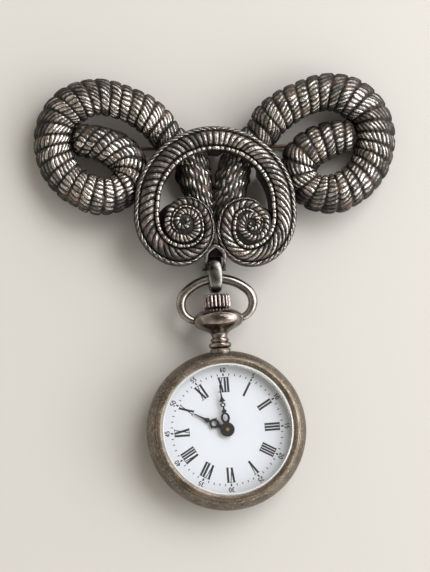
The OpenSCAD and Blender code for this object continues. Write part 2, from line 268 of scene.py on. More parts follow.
def through_rows(rows, spacing):
    """A smooth route through a table's rows, whose first two columns are places in plan.

    Returns the run along it at even steps, the columns there and the route's direction.
    """
    table = np.array(rows, float)
    last = len(table) - 1
    places = np.linspace(0, last, last * 60 + 1)
    start = np.minimum(places.astype(int), last - 1)
    f = (places - start)[:, None]
    a, b = table[np.maximum(start - 1, 0)], table[start]
    c, d = table[start + 1], table[np.minimum(start + 2, last)]
    dense = 0.5 * (
        2 * b + (c - a) * f + (2 * a - 5 * b + 4 * c - d) * f**2 + (3 * b - a - 3 * c + d) * f**3
    )
    run = np.concatenate([[0], np.cumsum(np.hypot(*np.diff(dense[:, :2], axis=0).T))])
    even = np.linspace(0, run[-1], int(run[-1] / spacing) + 1)
    smooth = np.stack([np.interp(even, run, column) for column in dense.T], axis=1)
    step = np.gradient(smooth[:, :2], axis=0)
    step /= np.hypot(*step.T)[:, None]
    return even, smooth, step


def ridge(phase, fullness):
    """A round ridge for each whole number of the phase: 0 in its creases, 1 on top."""
    across = np.abs(2 * (phase - np.floor(phase)) - 1)
    return (1 - across**fullness) ** 0.6


# The cord's turns differ a little, and start over after this many
variety = 80
rng = np.random.default_rng(7)
wrap_swell = rng.uniform(-0.10, 0.10, variety)
wrap_shift = rng.uniform(0, 1, variety)
wrap_slant = rng.uniform(-0.28, 0.28, variety)


def horn_skin(end_rows, tail_lean):
    """The wound rope, drawn on the right-hand side of the brooch."""
    loop = np.array(horn_rows) * (horn_reach, horn_rise, rope_r, rope_r)
    rows = np.concatenate([end_rows, loop])
    run, line, step = through_rows(rows, 0.19)
    radius, sit = line[:, 2], line[:, 3]
    hollow = ease((line[:, 0] / horn_reach - hollow_in) / (hollow_out - hollow_in))
    lift = back_hollow * (1 - hollow)
    angle = np.radians(np.concatenate([np.linspace(-62, 242, 138), np.linspace(250, 290, 5)]))
    # From 0 inside the arch, where the wraps show less than the strands, to 1 outside it
    out = ease((run - 14) / 8)[:, None]
    turn = (angle[None, :] - math.pi / 2) / (2 * math.pi)
    lean = wrap_lean + (tail_lean - wrap_lean) * ease((run / run[-1] - 0.68) / 0.16)[:, None]
    phase = run[:, None] / wrap_pitch + lean * turn
    wrap = np.floor(phase).astype(int) % variety
    wound = 1 - (1 - ridge(phase, 4.2)) * (0.12 + 0.88 * out)
    slant = (strand_slant + wrap_slant[wrap]) * out
    within = (phase - np.floor(phase) - 0.5) * wrap_pitch
    waver = 0.13 * np.sin(2.1 * run[:, None] + 5.0 * angle[None, :])
    strand_phase = (
        radius[:, None] * angle[None, :] + slant * within - arch_slant * (1 - out) * run[:, None]
    ) / (arch_pitch + (strand_pitch - arch_pitch) * out)
    strand_phase += wrap_shift[wrap] * out + waver
    strand = ridge(strand_phase, 2.0)
    thread = np.floor(strand_phase).astype(int)
    lag = wrap_shift[thread % variety]
    swell = 0.5 + 0.5 * np.cos(2 * math.pi * (run[:, None] / arch_swell + lag))
    strand *= 1 - (1 - out) * 0.5 * swell
    uneven = wrap_swell[(wrap * 7 + thread * 13) % variety]
    rough = radius[:, None] + 0.06 + wrap_swell[wrap] * out - wrap_depth * (1 - wound)
    rough -= strand_depth * (1.1 - 0.1 * out) * (1 - strand) * np.sqrt(wound)
    rough += 0.7 * uneven * strand * wound
    rough = np.minimum(rough, radius[:, None] + 0.12)
    # The rope closes in a round tip at each end
    tip = np.minimum(run, run[-1] - run)
    rough *= np.sqrt(np.clip(1 - (1 - np.clip(tip / 2.0, 0, 1)) ** 2, 0.02, 1))[:, None]
    side = rough * np.cos(angle)
    height = np.maximum(sit[:, None] + rough * np.sin(angle), 0)
    x = line[:, 0, None] - step[:, 1, None] * side
    y = line[:, 1, None] + step[:, 0, None] * side
    points = np.stack([x, y, lift[:, None] + height], axis=-1)
    # The rope is drawn darker low on its flanks: partly patina that rubbing misses, partly painted
    # shade
    low = np.clip((height / np.maximum(sit + radius, 0.1)[:, None] - 0.3) / 0.6, 0, 1)
    wear_and_shade = wound**1.8 * (0.06 + 0.94 * strand**1.8) * (0.28 + 0.72 * low)
    wear_and_shade *= 0.95 + 2.0 * wrap_swell[(wrap * 7) % variety] + 3.5 * uneven
    # Painted shade: the outer flank of the loop, which faces away from the light, is drawn dark
    wear_and_shade *= 1 - 0.55 * out * np.clip(np.cos(angle)[None, :] * 1.2 - 0.1, 0, 1)
    return over_grid(points, wear_and_shade)


def turned_by(points, degrees, middle):
    """Points turned in plan about the origin, then moved to the middle."""
    a = math.radians(degrees)
    turn = np.array([[math.cos(a), -math.sin(a), 0], [math.sin(a), math.cos(a), 0], [0, 0, 1]])
    return points @ turn.T + middle


horn_silver = old_silver(
    "horn_silver", (0.010, 0.008, 0.006), (0.66, 0.62, 0.575), (0.20, 0.14, 0.115), 0.16, 0.50
)
left_skin = placed(horn_skin(left_end, left_tail_lean), left_stretch, (frame_x, frame_y, 0))
cast_piece("left_horn_rope", [left_skin], horn_silver, "brooch", "left_horn")
right_skin = horn_skin(right_end, right_tail_lean)
points, faces, wear_and_shade = placed(right_skin, right_stretch, (0, -right_drop, 0))
points = turned_by(points, right_lean, (frame_x, frame_y, 0))
right_skin = (points, faces, wear_and_shade * right_rub)
cast_piece("right_horn_rope", [right_skin], horn_silver, "brooch", "right_horn")

# The scroll frame: one casting of a ridged band between a fine rope edge and a string of
# beads. It arches over the crossed ropes and coils into two volutes, and a small pointed
# eyelet with a bar across it hangs between them.
band_w, band_t = 5.3, 3.6
rope_under = 1.035 * frame_r / 4.1  # the height of the ropes where they run under the band
frame_z = back_hollow + rope_under + 0.15
frame_top = frame_z + band_t
arch_r = frame_r - band_w / 2
wall_foot = 0.6
# Columns: out and up, as shares of frame_r, and width, as a share of band_w
scroll_rows = [
    [0.851, -0.150, 1.00],
    [0.810, -0.335, 0.96],
    [0.700, -0.495, 0.92],
    [0.535, -0.595, 0.89],
    [0.350, -0.605, 0.81],
]
left_scroll = [
    [0.190, -0.520, 0.62],
    [0.105, -0.385, 0.55],
    [0.098, -0.223, 0.54],
    [0.155, -0.062, 0.51],
    [0.276, 0.025, 0.48],
    [0.412, 0.037, 0.46],
    [0.520, -0.030, 0.43],
]
right_scroll = [
    [0.203, -0.499, 0.77],
    [0.140, -0.362, 0.79],
    [0.141, -0.219, 0.77],
    [0.185, -0.079, 0.70],
    [0.287, 0.003, 0.62],
    [0.410, 0.019, 0.56],
    [0.513, -0.039, 0.50],
]
# The coils' last turns. Columns: angle round the volute, radius in mm, width in mm
left_volute = (6.66, -3.40)
left_coil = [
    [20, 3.40, 2.10],
    [-20, 3.55, 2.20],
    [-60, 3.70, 2.30],
    [-100, 3.70, 2.30],
    [-140, 3.35, 2.20],
    [-180, 2.65, 2.00],
    [-220, 2.35, 1.90],
    [-260, 2.10, 1.80],
    [-300, 1.80, 1.70],
    [-360, 1.60, 1.60],
    [-420, 1.45, 1.60],
    [-470, 1.20, 1.50],
    [-520, 0.90, 1.30],
    [-570, 0.60, 1.10],
    [-620, 0.30, 0.90],
]
right_volute = (7.70, -4.10)
right_coil = [
    [20, 3.20, 2.00],
    [-40, 2.90, 2.00],
    [-90, 2.70, 2.10],
    [-140, 2.35, 2.00],
    [-180, 2.20, 2.00],
    [-230, 2.10, 1.90],
    [-270, 2.00, 1.80],
    [-310, 1.75, 1.70],
    [-360, 1.30, 1.50],
    [-420, 1.00, 1.30],
    [-480, 0.80, 1.20],
    [-540, 0.60, 1.10],
    [-600, 0.35, 1.00],
]
bead_pitch, edge_pitch = 1.30, 1.15
# The ridges' pitch and lean, at places along the band from the top of the arch
pitch_places, pitches = [0, 8, 18, 46, 56, 66], [1.05, 1.20, 1.60, 1.60, 1.15, 0.80]
lean_places = [1, 8, 20, 30, 37, 44, 50, 58]
right_leans = [0, 0.50, 0.85, 1.00, 1.05, 0.85, 0.45, 0.35]
left_leans = [0, 0.32, 0.40, 0.52, 0.78, 0.70, 0.40, 0.25]
# Painted light and shade: how bright each half of the arch is drawn, the left one darker as the light
# falls from the right
right_band_painted_light, left_band_painted_light = 1.08, 0.68


def band_skin(scroll, volute, coil, leans, painted_side_light):
    """One half of the band, drawn on the right-hand side, from the arch's top to its coil."""
    rows = [
        [arch_r * math.sin(a), arch_r * math.cos(a), band_w]
        for a in np.radians(np.linspace(-1, 90, 11))
    ]
    rows += [[r[0] * frame_r, r[1] * frame_r, r[2] * band_w] for r in scroll_rows + scroll]
    for degrees, radius, width in coil:
        a = math.radians(degrees)
        rows.append([volute[0] + radius * math.cos(a), volute[1] + radius * math.sin(a), width])
    run, line, step = through_rows(rows, 0.10)
    half = line[:, 2] / 2
    coiled = ease((run - 50) / 12)
    edge = half * 2 * 0.20 * (1 - 0.8 * coiled)
    beaded = 1 - ease((run - 62) / 4)
    bead = 0.08 + (np.minimum(half * 2 * 0.22, 1.0) - 0.08) * beaded
    pitch = np.interp(run, pitch_places, pitches)
    ridges = np.cumsum(run[1] / pitch)
    # How far a ridge leans: its outer end lies further along the route
    slope = np.interp(run, lean_places, leans)
    parts, tops, wear_and_shade_rows = [], [], []
    # The fine rope edge on the outside
    for x in np.linspace(-1, 1, 9):
        place = -half + edge * (x + 1) / 2
        twist = ridge(run / edge_pitch + 0.75 * x, 2.0)
        rise = math.sqrt(max(1 - x * x, 0))
        parts.append(place)
        tops.append(frame_top - 1.75 + 0.65 * rise * (1 - 0.4 * (1 - twist)) * (1 - 0.4 * coiled))
        wear_and_shade_rows.append(0.75 * rise * twist**1.5)
    # The ridged band itself
    for x in np.linspace(-1, 1, 21):
        place = -half + edge + (half * 2 - edge - bead) * (x + 1) / 2
        # Each ridge leans, and curves back a little towards the outer edge
        bend = slope * (x - 0.22 * (1 - x) ** 2)
        phase = ridges + bend * (half - edge / 2 - bead / 2) / pitch
        fold = np.floor(phase).astype(int) % variety
        folded = ridge(phase, 4.6)
        # Two or three fine lines run along its top
        fine = 0.5 + 0.5 * np.cos((phase + 0.5) * 2 * math.pi * (2 + fold % 2))
        rise = (1 - abs(x) ** 2.7) ** 0.5
        crease = 0.85 * (1 - folded) + 0.07 * (1 - fine) * (1 - coiled)
        parts.append(place)
        tops.append(
            frame_top - 1.4 + 1.4 * rise + 1.2 * (wrap_swell[fold] - 0.1)
            - crease * (0.45 + 0.55 * rise)
        )
        shine = (0.66 + 0.34 * fine**1.5) * (0.85 + 2.5 * wrap_swell[fold])
        # Painted light and shade: each half of the arch is drawn brighter or darker by its side's
        # factor, save at the coil
        rub_and_shade = (painted_side_light + (1 - painted_side_light) * coiled) * (0.25 + 0.70 * rise)
        wear_and_shade_rows.append(rub_and_shade * folded**2.6 * shine)
    # The beads along the inside
    wander = run / bead_pitch + 0.16 * np.sin(1.3 * run) + 0.12 * np.sin(3.1 * run + 1)
    bead_size = 0.8 + 2.0 * wrap_swell[np.floor(wander).astype(int) % variety]
    ball = ridge(wander, 2.6)
    for x in np.linspace(-1, 1, 9):
        place = half - bead + bead * (x + 1) / 2
        rise = math.sqrt(max(1 - x * x, 0))
        parts.append(place)
        tops.append(frame_top - 1.05 + 0.90 * rise * (0.25 + 0.75 * ball * bead_size) * beaded)
        wear_and_shade_rows.append(rise * (0.05 + 1.3 * ball**1.5 * bead_size) * beaded)
    # Where no rope passes, the arch's inner wall goes down nearly to the back
    wall = 1 - ease((run - 1.2) / 1.4) + ease((run - 12.0) / 1.4) * (1 - ease((run - 29) / 4))
    foot = frame_z - 0.03 - (frame_z - 0.03 - wall_foot) * wall
    low = np.full_like(run, frame_z)
    places = [-half] + parts + [half, half, half - 0.6, half - 0.6]
    heights = [low] + tops + [low, foot, foot, low]
    none = np.zeros_like(run)
    wear_and_shade_grid = [none] + wear_and_shade_rows + [none] * 4
    across, height = np.stack(places, axis=1), np.stack(heights, axis=1)
    # The route runs clockwise on this side, so its inside is on its right
    x = line[:, 0, None] + step[:, 1, None] * across
    y = line[:, 1, None] - step[:, 0, None] * across
    return over_grid(np.stack([x, y, height], axis=-1), np.stack(wear_and_shade_grid, axis=1))


def full_turn(count):
    """Even angles once round a circle."""
    return np.linspace(0, 2 * math.pi, count, endpoint=False)


def turned_skin(profile, steps, wear_and_shade=None, along_y=False):
    """A turned solid from a profile of (radius, height) points, round Z or along Y."""
    profile = np.array(profile, float)
    wear_and_shade = np.full(len(profile), 0.6) if wear_and_shade is None else np.array(wear_and_shade, float)
    a = full_turn(steps)
    x, y = profile[:, 0, None] * np.cos(a), profile[:, 0, None] * np.sin(a)
    height = np.repeat(profile[:, 1, None], steps, axis=1)
    stack = [x, height, -y] if along_y else [x, y, height]
    return over_grid(np.stack(stack, axis=-1), np.repeat(wear_and_shade[:, None], steps, axis=1))


def tube_skin(line, radii, sides, flat=1.0, wear_and_shade=0.7):
    """A round bar along points in space; flat squeezes it along Z."""
    line = np.array(line, float)
    along = np.gradient(line, axis=0)
    along /= np.linalg.norm(along, axis=1)[:, None]
    side = np.cross([0, 0, 1], along)
    side /= np.linalg.norm(side, axis=1)[:, None]
    top = np.cross(along, side)
    a = full_turn(sides)
    radii = np.array(radii, float)[:, None, None]
    points = line[:, None, :] + radii * (
        np.cos(a)[None, :, None] * side[:, None, :]
        + flat * np.sin(a)[None, :, None] * top[:, None, :]
    )
    return over_grid(points, np.full(points.shape[:2], wear_and_shade))


eyelet_hole = 1.8
eyelet_top = -0.526 * frame_r
bail_r, bail_t = 4.1, 1.3
bail_hole = bail_r - bail_t
bail_x, bail_y = frame_x + 0.05, frame_y + eyelet_top - bail_r - 0.95
bar_y = bail_y - frame_y + 0.42 * bail_hole
bar_z = bail_r + 0.2


def eyelet_skins():
    # The rim: a pointed arch swept round the hole, down to the bar's two ends
    side = eyelet_hole + 0.20
    # Across, up and height, in mm
    half = [
        (side + 0.15, bar_y + 0.1, bar_z + 0.7),
        (side + 0.05, bar_y + 0.5, 6.6),
        (side, bar_y + 1.1, 7.9),
        (side, eyelet_top - 1.9, 8.6),
        (side - 0.08, eyelet_top - 1.2, 8.9),
        (side - 0.40, eyelet_top - 0.7, 9.0),
        (side - 1.00, eyelet_top - 0.1, 9.1),
        (0.0, eyelet_top + 0.6, 9.2),
    ]
    table = np.array(half + [(-x, y, z) for x, y, z in reversed(half[:-1])])
    knots = np.arange(len(table))
    fine = np.linspace(0, len(table) - 1, 90)
    line = np.stack([np.interp(fine, knots, column) for column in table.T], axis=1)
    # Its corners are rounded off
    kernel = np.array([1, 2, 3, 2, 1]) / 9.0
    for _ in range(3):
        padded = np.pad(line, ((2, 2), (0, 0)), "edge")
        line = np.stack([np.convolve(column, kernel, "valid") for column in padded.T], axis=1)
    skins = [tube_skin(line, np.full(len(line), 0.42), 14, wear_and_shade=0.55)]
    # Its root between the volutes, a black web under that, which paints the shade behind the
    # eyelet's hole, and the bar that the bail hangs on.
    # Columns: both ends, their radii, steps along and around, flatness and wear (which carries the
    # painted shade)
    reach = side + 0.5
    rods = [
        ((0, eyelet_top + 3.4, 8.2), (0, eyelet_top + 0.9, 8.4), 0.7, 0.9, 8, 16, 1.0, 0.30),
        ((0, eyelet_top + 0.9, 6.5), (0, eyelet_top - 1.7, 6.4), 1.7, 1.9, 8, 16, 0.35, 0.0),
        ((-reach, bar_y, bar_z + 0.6), (reach, bar_y, bar_z + 0.6), 0.5, 0.5, 12, 12, 1.0, 0.35),
    ]
    for start, end, first, last, steps, sides, flat, wear_and_shade in rods:
        radii = np.linspace(first, last, steps)
        skins.append(tube_skin(np.linspace(start, end, steps), radii, sides, flat, wear_and_shade))
    return skins


# A low disc lies under each coil, and a black sunk disc between it and the arch paints the shade there
core = turned_skin([(0.02, 0), (4.5, 0), (4.5, 2.3), (4.1, 2.7), (0.02, 2.75)], 48, [0.15] * 5)
shade_disc = turned_skin([(0.02, -0.4), (4.9, -0.4), (4.9, 0.7), (0.02, 0.8)], 48, [0.0] * 4)
skins = []
for sign, scroll, volute, coil, leans, painted_side_light in (
    (1, right_scroll, right_volute, right_coil, right_leans, right_band_painted_light),
    (-1, left_scroll, left_volute, left_coil, left_leans, left_band_painted_light),
):
    band = band_skin(scroll, volute, coil, leans, painted_side_light)
    disc = placed(core, offset=(*volute, frame_z + 0.1))
    sunk_shade_disc = placed(shade_disc, offset=(volute[0] + 1.1, volute[1] - 0.6, frame_z))
    skins += [placed(skin, (sign, 1, 1), (frame_x, frame_y, 0)) for skin in (band, disc, sunk_shade_disc)]
skins += [placed(skin, offset=(frame_x, frame_y, 0)) for skin in eyelet_skins()]
frame_silver = old_silver(
    "frame_silver", (0.012, 0.009, 0.007), (0.56, 0.53, 0.495), (0.20, 0.145, 0.12), 0.20, 0.50
)
cast_piece("scroll_casting", skins, frame_silver, "brooch", "scroll_frame")

# The brooch's pin and the setting stem: hard drawn steel wire. The pin is sprung into its
# catch and shows only as a thin brownish line behind the gaps of the horns.


def refinish(node, material):
    """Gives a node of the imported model, whose own shape is right, its finish."""
    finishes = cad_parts[node].data.materials
    finishes.clear()
    finishes.append(material)


for node, dark, light in (
    # The pin's darker, browner colours: partly its own tarnish, partly painted shade from the horns
    # over it
    ("brooch_pin", (0.10, 0.062, 0.047), (0.24, 0.17, 0.135)),
    ("setting_stem", (0.34, 0.31, 0.28), (0.58, 0.56, 0.53)),
):
    material, shader, tone = new_finish(node + "_steel", Metallic=1.0, Roughness=0.38)
    wire_up(tone.noise(1.4).mixed(dark, light), shader, "Base Color")
    refinish(node, material)

# The bail: a smooth ring of flat steel strip, closed round the eyelet's bar and the bow.
# It stands on edge, so from above it reads as a short polished bar.
watch_lean = 4.4
lean_line = (-math.sin(math.radians(watch_lean)), math.cos(math.radians(watch_lean)))


def streaks(tone, scale, **values):
    """Noise drawn out along one way, for hairlines and scratches."""
    place = {"Vector": tone.add("TexCoord", out="Object"), "Scale": scale}
    values = {"Vector": tone.add("Mapping", None, place), "Scale": 1.0, **values}
    return tone.add("TexNoise", None, values)


def polished(name, dark, light, rough):
    """Smooth worn metal with faint clouds and hairline scratches."""
    material, shader, tone = new_finish(name, Metallic=1.0)
    clouds = tone.noise(2.2, 4.0)
    wire_up(clouds.between(0.3, 0.7).mixed(dark, light), shader, "Base Color")
    wire_up(tone.noise(0.8, 4.0).between(0.3, 0.8) * 0.16 + rough, shader, "Roughness")
    roughen(tone, streaks(tone, (9000.0, 700.0, 2500.0), Detail=2.0), shader, 0.12, 0.05)
    return material


bail_steel = polished("bail_steel", (0.018, 0.018, 0.016), (0.33, 0.33, 0.31), 0.18)
corner = full_turn(28)
thick = bail_t / 2
squared = 0.75  # 1 would draw the ring and its section round, and less squares them
# Half the strip's width, and how much wider it is on top and towards the eyelet
strip, strip_up, strip_along = 1.38, 0.12, 0.18
c, s = np.cos(corner), np.sin(corner)
out = (bail_r - thick) + thick * np.sign(c) * np.abs(c) ** squared
rings = []
for a in full_turn(96):
    along, up = math.cos(a), math.sin(a)
    wide = strip + strip_up * up + strip_along * along
    across = wide * np.sign(s) * np.abs(s) ** squared
    along, up = (math.copysign(abs(value) ** squared, value) for value in (along, up))
    x = bail_x + out * along * lean_line[0] + across * lean_line[1]
    y = bail_y + out * along * lean_line[1] - across * lean_line[0]
    rings.append(np.stack([x, y, bail_r + out * up], axis=1))
rings.append(rings[0])
# Each ring runs backwards, so that the skin faces outward
rings = np.array(rings)[:, ::-1]
skin = over_grid(rings, np.full(rings.shape[:2], 0.7), ends=False)
cast_piece("bail_ring", [skin], bail_steel, "brooch", "bail")

# The watch and all that is on it, in its own frame: the origin in the middle of the
# case's back, Y along the pendant. The bow is one bent wire, thinner where its two ends
# are sprung into the sides of the onion.
case_r, neck_len, axis_z = 17.0, 6.6, 5.4
bow_w, bow_h, bow_corner, bow_wire = 17.3, 8.8, 3.6, 0.95
pivot_y = case_r + neck_len
bow_drop = math.sqrt((bail_hole - bow_wire - 0.15) ** 2 - (axis_z - bail_r) ** 2)
hang = bow_drop + bow_h + pivot_y
watch_at = (bail_x - lean_line[0] * hang, bail_y - lean_line[1] * hang)


def on_watch(skins):
    """Skins drawn in the watch's own frame, put where the watch lies."""
    middle = (*watch_at, 0)
    return [(turned_by(points, watch_lean, middle), faces, wear_and_shade) for points, faces, wear_and_shade in skins]


bow_half = bow_w / 2 - bow_wire
corner_x, corner_y = bow_half - bow_corner, bow_corner
arch_drop = bow_corner - bow_h
bow_arch = (bow_corner**2 - corner_x**2 - arch_drop**2) / (2 * (arch_drop + bow_corner))
corner_turn = math.atan2(corner_y - (bow_h - bow_arch), corner_x)
arc = np.linspace(math.radians(-74), corner_turn, 40)
right = np.stack(
    [corner_x + bow_corner * np.cos(arc), corner_y + bow_corner * np.sin(arc)], axis=1
)
arc = np.linspace(corner_turn, math.pi - corner_turn, 60)[1:-1]
top = np.stack([bow_arch * np.cos(arc), bow_h - bow_arch + bow_arch * np.sin(arc)], axis=1)
left = right[::-1] * (-1, 1)
route = np.concatenate([right, top, left])
line = np.column_stack([route[:, 0], route[:, 1] + pivot_y, np.full(len(route), axis_z)])
# The wire thins to its two ends
thinned, thinned_share = 0.22, 0.22
span = np.linspace(0, 1, len(line))
from_end = ease(np.minimum(span, 1 - span) / thinned_share)
radii = (bow_wire + 0.08) * (1 - thinned + thinned * from_end)
bow_steel = polished("bow_steel", (0.19, 0.175, 0.155), (0.40, 0.38, 0.355), 0.17)
cast_piece(
    "bow_wire", on_watch([tube_skin(line, radii, 28)]), bow_steel, "brooch", "bow"
)

# The pendant: an onion over a ringed neck, turned from one bar of brass and plated. It is
# screwed into the case, and the bow's ends are sprung into holes in the onion's sides.
onion_r, onion_h, neck_r, onion_pow = 5.35, 5.1, 1.6, 2.3
onion_foot, onion_tip = -0.74, 0.86  # where its curve ends, as shares of half its height
half = onion_h / 2
profile = [(0.47, case_r + 0.36), (neck_r, case_r + 0.36)]


def rounded_ring(radius, low, high, base):
    """The points of one full-round ring of a turned neck."""
    middle, rise = (low + high) / 2, (high - low) / 2
    a = np.linspace(-math.pi / 2, math.pi / 2, 11)
    return [(base + (radius - base) * math.cos(t) ** 0.6, middle + rise * math.sin(t)) for t in a]


profile += rounded_ring(2.42, case_r + 0.50, case_r + 1.70, neck_r + 0.02)
profile += rounded_ring(1.95, case_r + 1.78, case_r + 2.62, neck_r)
profile += [(neck_r, case_r + 2.80)]
# A hollow flare leads from the neck into the onion
flare = [(-3.65, 1.62), (-3.30, 1.70), (-2.95, 1.90), (-2.65, 2.25), (-2.35, 2.80), (-2.12, 3.30)]
profile += [(radius, pivot_y + up) for up, radius in flare]
for t in np.linspace(onion_foot, onion_tip, 41):
    profile.append((onion_r * (1 - abs(t) ** onion_pow) ** 0.5, pivot_y + half * t))
profile += [(1.2, pivot_y + 0.87 * half), (0.47, pivot_y + 0.87 * half)]
neck_metal = polished("neck_metal", (0.065, 0.053, 0.046), (0.38, 0.335, 0.305), 0.09)
skin = placed(turned_skin(profile, 72, along_y=True), offset=(0, 0, axis_z))
cast_piece("onion_pendant", on_watch([skin]), neck_metal, "watch", "pendant")

# The crown: a short ribbed button of plated brass, pinkish where its plating is worn. It
# turns with the setting stem, and pulls out with it to set the hands.
crown_r, crown_h, crown_ribs = 2.95, 3.0, 20
crown_y = pivot_y + onion_tip * half - 0.1 + 0.25
rib_depth, rim_depth = 0.60, 0.18
# The rounded side's heights, and how far each is in from the widest
heights = [0.0, 0.02, 0.12, 0.3, 0.55, 1.0, 1.5, 2.0, 2.45, 2.7, 2.88, 2.98, crown_h]
insets = [0.62, 0.45, 0.24, 0.08, 0.0, 0.0, 0.0, 0.0, 0.0, 0.08, 0.24, 0.45, 0.75]
steps = crown_ribs * 16
a = full_turn(steps)
rib = ridge(a * crown_ribs / (2 * math.pi), 1.8)


def crown_ring(radius, height):
    """One ring of points about the crown's axis."""
    level = np.full(steps, crown_y + height)
    return np.stack([radius * np.cos(a), level, radius * np.sin(a)], axis=1)


rings, wear_and_shade_rows = [crown_ring(0.5, 0)], [np.zeros(steps)]
for height, inset in zip(heights, insets):
    # The grooves run out at both rims
    depth = rim_depth if height in (0, crown_h) else rib_depth
    rings.append(crown_ring(crown_r - inset - depth * (1 - rib**1.5), height))
    wear_and_shade_rows.append(rib**2.5)
for radius in (1.6, 0.5):
    rings.append(crown_ring(radius, crown_h))
    wear_and_shade_rows.append(np.full(steps, 0.6))
# Each ring runs backwards, so that the skin faces outward
skin = over_grid(np.array(rings)[:, ::-1], np.array(wear_and_shade_rows)[:, ::-1])
skin = placed(skin, offset=(0, 0, axis_z))
crown_metal = old_silver(
    "crown_metal", (0.010, 0.006, 0.005), (0.54, 0.465, 0.44), (0.36, 0.26, 0.24), 0.20, 0.5
)
cast_piece("ribbed_crown", on_watch([skin]), crown_metal, "winder", "crown")

# The case: plated brass, turned, worn matt and brownish. The back and the bezel are
# snapped on, and a small boss carries the neck.
case_t, case_wall, bezel_w = 9.4, 3.4, 2.95
side_round, front_z, back_t, dial_z = case_t / 2 + 0.2, case_t - 1.1, 0.9, 6.3
glass_r = case_r - bezel_w
dial_r = glass_r + 0.55


def worn_case(name, dark, light, rough):
    """Plated metal worn matt: blotches, finger wear and fine scratches round the case."""
    material, shader, tone = new_finish(name)
    clouds = tone.noise(6.0, 5.0, 0.6).between(0.32, 0.68)
    pits = tone.noise(0.9, 4.0).between(0.50, 0.72)
    specks = tone.noise(0.4, 2.0).between(0.56, 0.72)
    colour = (pits * 0.7).mixed(clouds.mixed(dark, light), (0.045, 0.036, 0.028))
    wire_up((specks * 0.7).mixed(colour, (0.50, 0.45, 0.38)), shader, "Base Color")
    wire_up(0.95 - pits * 0.3, shader, "Metallic")
    wire_up(rough + clouds * 0.10 + pits * 0.15, shader, "Roughness")
    scratches = streaks(tone, (3200.0, 1100.0, 4200.0), Detail=3.0, Distortion=1.5)
    roughen(tone, scratches, shader, 0.25, 0.06)
    return material


case_metal = worn_case("case_metal", (0.082, 0.067, 0.051), (0.225, 0.192, 0.152), 0.34)
bezel_metal = worn_case("bezel_metal", (0.12, 0.092, 0.068), (0.28, 0.23, 0.18), 0.32)
# The wall's section as a closed loop, drawn round the case
low = math.asin((back_t - case_t / 2) / side_round)
high = math.asin((front_z - case_t / 2) / side_round)
arc = np.linspace(low, high, 40)
profile = [
    (case_r - side_round + side_round * math.cos(t), case_t / 2 + side_round * math.sin(t))
    for t in arc
]
profile += [(dial_r + 0.2, front_z), (dial_r + 0.06, front_z - 0.1), (dial_r + 0.06, dial_z)]
profile += [(case_r - case_wall, dial_z), (case_r - case_wall, back_t)]


def turned_ring(profile, steps):
    """A ring turned round Z from a closed section of (radius, height) points."""
    table = np.array(profile + profile[:1])
    a = full_turn(steps)
    x, y = table[:, 0, None] * np.cos(a), table[:, 0, None] * np.sin(a)
    points = np.stack([x, y, np.repeat(table[:, 1, None], steps, axis=1)], axis=-1)
    return over_grid(points, np.full(points.shape[:2], 0.5), ends=False)


wall = turned_ring(profile, 160)
boss = [(1.25, case_r - 1.2), (neck_r + 0.6, case_r - 1.2), (neck_r + 0.6, case_r + 0.22)]
boss += [(neck_r + 0.5, case_r + 0.32), (neck_r + 0.4, case_r + 0.35), (1.25, case_r + 0.35)]
boss = placed(turned_skin(boss, 48, along_y=True), offset=(0, 0, axis_z))
cast_piece("case_wall", on_watch([wall, boss]), case_metal, "watch", "case_body")
refinish("case_back", case_metal)

bezel_r = case_r - side_round + side_round * math.cos(high) - 0.12
profile = [(glass_r + 0.55, front_z + 0.06), (bezel_r - 0.1, front_z + 0.06)]
profile += [(bezel_r, front_z + 0.16), (bezel_r, case_t - 0.5)]
profile += [
    (bezel_r - 0.45 + 0.45 * math.cos(t), case_t - 0.45 + 0.45 * math.sin(t))
    for t in np.linspace(0.15, math.pi / 2, 9)
]
seat_r = glass_r + 0.06
profile += [(glass_r + 0.35, case_t), (glass_r + 0.15, case_t - 0.06), (seat_r, case_t - 0.2)]
profile += [(seat_r, front_z - 0.1), (glass_r + 0.55, front_z - 0.1)]
ring = turned_ring(profile, 160)
cast_piece("bezel_ring", on_watch([ring]), bezel_metal, "watch", "bezel")

# The glass: a low dome of clear mineral glass with a small round at its edge, pressed into
# the bezel from inside.
glass_rise = 0.8
glass_z = front_z - 0.1
dome_r = (glass_r**2 + glass_rise**2) / (2 * glass_rise)
profile = [(0.02, glass_z), (glass_r - 0.10, glass_z), (glass_r - 0.02, glass_z + 0.01)]
profile += [(glass_r, glass_z + 0.08), (glass_r, case_t - 0.40), (glass_r - 0.03, case_t - 0.28)]
profile += [(glass_r - 0.10, case_t - 0.19), (glass_r - 0.20, case_t - 0.11)]
profile += [(glass_r - 0.34, case_t - 0.03)]
for r in np.linspace(glass_r - 0.55, 0.02, 28):
    profile.append((r, case_t + glass_rise - dome_r + math.sqrt(dome_r**2 - r * r)))
material = bpy.data.materials.new("clear_glass")
material.use_nodes = True
tree = material.node_tree
tree.nodes.remove(tree.nodes["Principled BSDF"])
tone = Tone(tree)
clear = tone.add("BsdfTransparent", None, {"Color": (0.985, 0.99, 1.0, 1.0)})
gloss = tone.add("BsdfAnisotropic", None, {"Color": (1.0, 1.0, 1.0, 1.0), "Roughness": 0.04})
facing = tone.add("LayerWeight", None, {"Blend": 0.5}, out="Facing")
mix = tone.add("MixShader", None, {0: 0.04 + 0.96 * facing**5, 1: clear, 2: gloss})
tree.links.new(mix.socket, tree.nodes["Material Output"].inputs["Surface"])
dome = turned_skin(profile, 128)
cast_piece("glass_dome", on_watch([dome]), material, "watch", "crystal")

